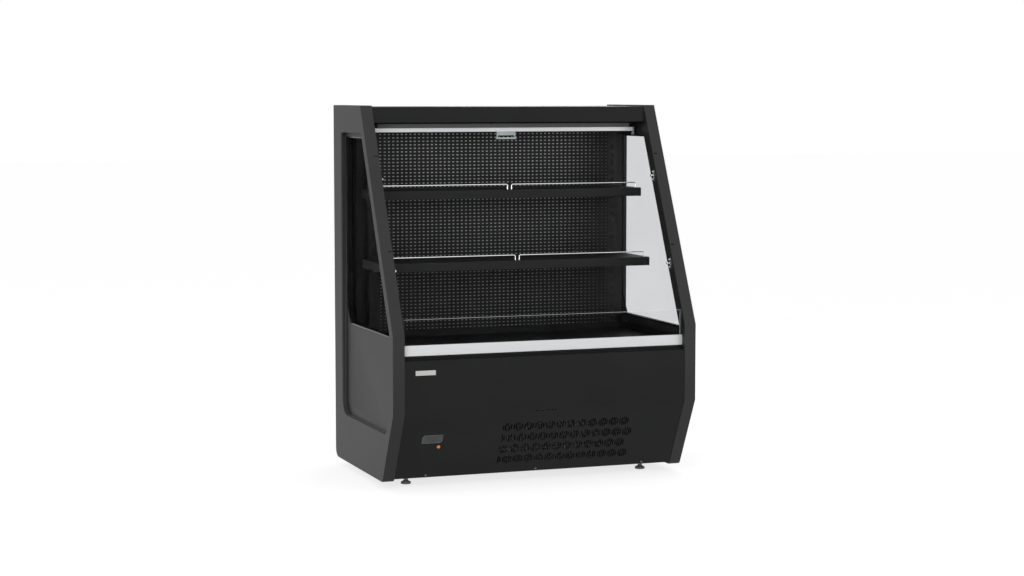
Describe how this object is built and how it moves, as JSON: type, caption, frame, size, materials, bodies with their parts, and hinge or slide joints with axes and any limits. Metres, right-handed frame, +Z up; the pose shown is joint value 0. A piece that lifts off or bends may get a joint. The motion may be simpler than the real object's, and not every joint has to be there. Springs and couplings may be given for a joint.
{
  "type": "open multideck display fridge",
  "caption": "Open-fronted refrigerated display cabinet with slanted glazed end panels, hanging shelves, a lit deck, a night blind and its own cooling unit below.",
  "frame": {"origin": "on the floor under the middle of the cabinet", "axes": "+Z up, the open front faces -Y, +X to the right of someone facing the front"},
  "size_m": [1.25, 0.81, 1.47],
  "materials": {
    "panel_shell": "matt dark grey moulding, fine texture",
    "black_sheet": "satin black powder coat",
    "interior_sheet": "satin black powder coat",
    "bracket_steel": "dark grey powder coat",
    "glazing": "lightly tinted clear glass",
    "clear_glass": "clear polished glass",
    "spacer_black": "matt black",
    "bumper_grey": "satin light grey",
    "blind_aluminium": "satin anodised",
    "blind_plastic": "satin grey-green",
    "hook_plastic": "satin grey",
    "blind_fabric": "woven dark grey",
    "roller_steel": "mill finish tube",
    "cassette_black": "matt black",
    "bright_metal": "bright plated",
    "badge_metal": "brushed, bare",
    "control_plastic": "dark grey moulding",
    "button_orange": "translucent orange",
    "lamp_lens": "frosted white",
    "outlet_plastic": "black honeycomb",
    "frame_steel": "black powder coat",
    "foot_plastic": "dark grey foot on a steel stud",
    "coil_fins": "aluminium fins",
    "shroud_steel": "grey sheet",
    "motor_black": "black motor",
    "fan_plastic": "black moulding",
    "compressor_black": "gloss black shell",
    "mount_rubber": "black rubber",
    "tray_plastic": "dark moulding",
    "pipe_copper": "bare copper"
  },
  "bodies": {
    "cabinet": {"air_outlet_honeycomb": "outlet_plastic", "back_panel": "interior_sheet", "badge_plate": "badge_metal", "base_frame": "frame_steel", "blind_cassette": "cassette_black", "blind_catches": "bright_metal", "blind_sheet": "blind_fabric", "bumper": "bumper_grey", "bumper_rail": "spacer_black", "button_socket": "control_plastic", "canopy": "black_sheet", "canopy_fascia": "black_sheet", "canopy_lamp": "lamp_lens", "compressor": "compressor_black", "compressor_mounts": "mount_rubber", "condensate_tray": "tray_plastic", "condenser_coil": "coil_fins", "condenser_fan_motor": "motor_black", "condenser_fan_shroud": "shroud_steel", "controller": "control_plastic", "deck_pans": "interior_sheet", "electrical_box": "shroud_steel", "end_panel_left": "panel_shell", "end_panel_right": "panel_shell", "evaporator_coil": "coil_fins", "evaporator_fan_motors": "motor_black", "evaporator_fan_plate": "interior_sheet", "front_panel": "black_sheet", "front_panel_screws": "bright_metal", "glass_spacers": "spacer_black", "insulated_back": "black_sheet", "insulated_floor": "black_sheet", "insulated_front": "black_sheet", "rear_grille": "black_sheet", "refrigerant_pipes": "pipe_copper", "return_air_grille": "interior_sheet", "riser_glass": "clear_glass", "riser_glass_holders": "spacer_black", "shelf_lower": "interior_sheet", "shelf_lower_brackets": "bracket_steel", "shelf_lower_wire_stops": "bright_metal", "shelf_upper": "interior_sheet", "shelf_upper_brackets": "bracket_steel", "shelf_upper_wire_stops": "bright_metal", "side_glass_left": "glazing", "side_glass_right": "glazing", "uprights": "interior_sheet"},
    "blind_bar": {"blind_bar": "blind_aluminium", "blind_bar_hooks": "hook_plastic", "blind_handle": "blind_plastic"},
    "blind_roller": {"blind_roller": "roller_steel", "blind_roll": "blind_fabric"},
    "light_button": {"light_button": "button_orange"},
    "condenser_fan": {"condenser_fan": "fan_plastic"},
    "evaporator_fan_left": {"evaporator_fan_left": "fan_plastic"},
    "evaporator_fan_right": {"evaporator_fan_right": "fan_plastic"},
    "foot_front_left": {"levelling_foot_front_left": "foot_plastic"},
    "foot_front_right": {"levelling_foot_front_right": "foot_plastic"},
    "foot_rear_left": {"levelling_foot_rear_left": "foot_plastic"},
    "foot_rear_right": {"levelling_foot_rear_right": "foot_plastic"}
  },
  "joints": [
    {"name": "blind_slide", "type": "slide", "parent": "cabinet", "child": "blind_bar", "axis": [0, -0.5298, -0.8481], "range_m": [0, 0.8], "stiffness_N_per_m": 4, "springref_m": -2.5, "deforming": ["blind_sheet"]},
    {"name": "blind_roller_turn", "type": "hinge", "parent": "cabinet", "child": "blind_roller", "pos_m": [0, 0.0891, 1.429], "axis": [1, 0, 0], "range_deg": [0, 2634.5]},
    {"name": "light_button_press", "type": "slide", "parent": "cabinet", "child": "light_button", "axis": [0, 0.886, 0.4637], "range_m": [0, 0.0025], "stiffness_N_per_m": 400, "springref_m": -0.002},
    {"name": "condenser_fan_spin", "type": "hinge", "parent": "cabinet", "child": "condenser_fan", "pos_m": [0.11, -0.066, 0.1855], "axis": [0, 1, 0], "continuous": true},
    {"name": "evaporator_fan_left_spin", "type": "hinge", "parent": "cabinet", "child": "evaporator_fan_left", "pos_m": [-0.29, -0.288, 0.45675], "axis": [0, 1, 0], "continuous": true},
    {"name": "evaporator_fan_right_spin", "type": "hinge", "parent": "cabinet", "child": "evaporator_fan_right", "pos_m": [0.29, -0.288, 0.45675], "axis": [0, 1, 0], "continuous": true},
    {"name": "foot_front_left_turn", "type": "hinge", "parent": "cabinet", "child": "foot_front_left", "pos_m": [-0.497, -0.151, 0], "axis": [0, 0, 1], "continuous": true},
    {"name": "foot_front_right_turn", "type": "hinge", "parent": "cabinet", "child": "foot_front_right", "pos_m": [0.497, -0.151, 0], "axis": [0, 0, 1], "continuous": true},
    {"name": "foot_rear_left_turn", "type": "hinge", "parent": "cabinet", "child": "foot_rear_left", "pos_m": [-0.497, 0.33, 0], "axis": [0, 0, 1], "continuous": true},
    {"name": "foot_rear_right_turn", "type": "hinge", "parent": "cabinet", "child": "foot_rear_right", "pos_m": [0.497, 0.33, 0], "axis": [0, 0, 1], "continuous": true}
  ],
  "couplings": [
    {"joint": "blind_roller_turn", "follows": "blind_slide", "rad_per_m": 57.471}
  ]
}
